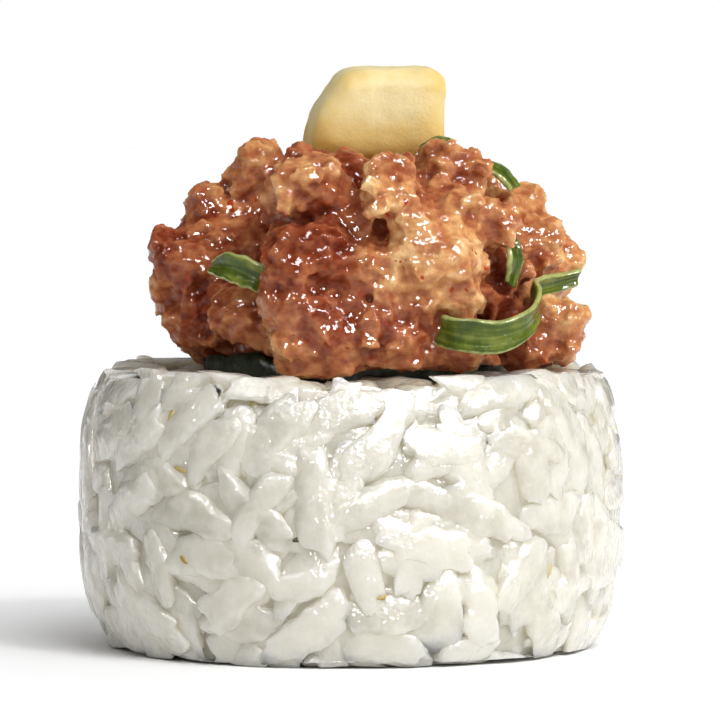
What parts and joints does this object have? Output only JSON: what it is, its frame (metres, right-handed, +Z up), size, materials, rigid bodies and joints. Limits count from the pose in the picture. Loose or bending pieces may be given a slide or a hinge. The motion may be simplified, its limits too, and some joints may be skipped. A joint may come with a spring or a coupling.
{
  "type": "tuna roll",
  "caption": "Inside-out sushi roll piece standing on its cut end, with a heap of chopped dressed tuna, spring onion shreds and a soft yellow cube on top.",
  "frame": {"origin": "middle of the flat base that the roll stands on", "axes": "+Z up along the roll's axis, -Y towards the side that the picture shows, +X to that view's right"},
  "size_m": [0.0418, 0.0418, 0.0448],
  "materials": {
    "rice": "moist, slightly translucent cooked grains",
    "nori": "damp dark seaweed sheet",
    "tuna": "wet chopped fish in an orange dressing",
    "spring_onion": "fresh leaf with fine veins",
    "yellow_cube": "soft, slightly translucent, moist"
  },
  "bodies": {
    "root": {"rice": "rice", "nori": "nori", "tuna": "tuna", "spring_onion_curl": "spring_onion", "spring_onion_fold": "spring_onion", "spring_onion_upright": "spring_onion", "spring_onion_brow": "spring_onion", "spring_onion_crown": "spring_onion", "spring_onion_back_curl": "spring_onion", "spring_onion_back_fold": "spring_onion", "spring_onion_left_upright": "spring_onion", "spring_onion_back_brow": "spring_onion", "yellow_cube": "yellow_cube"}
  },
  "joints": []
}
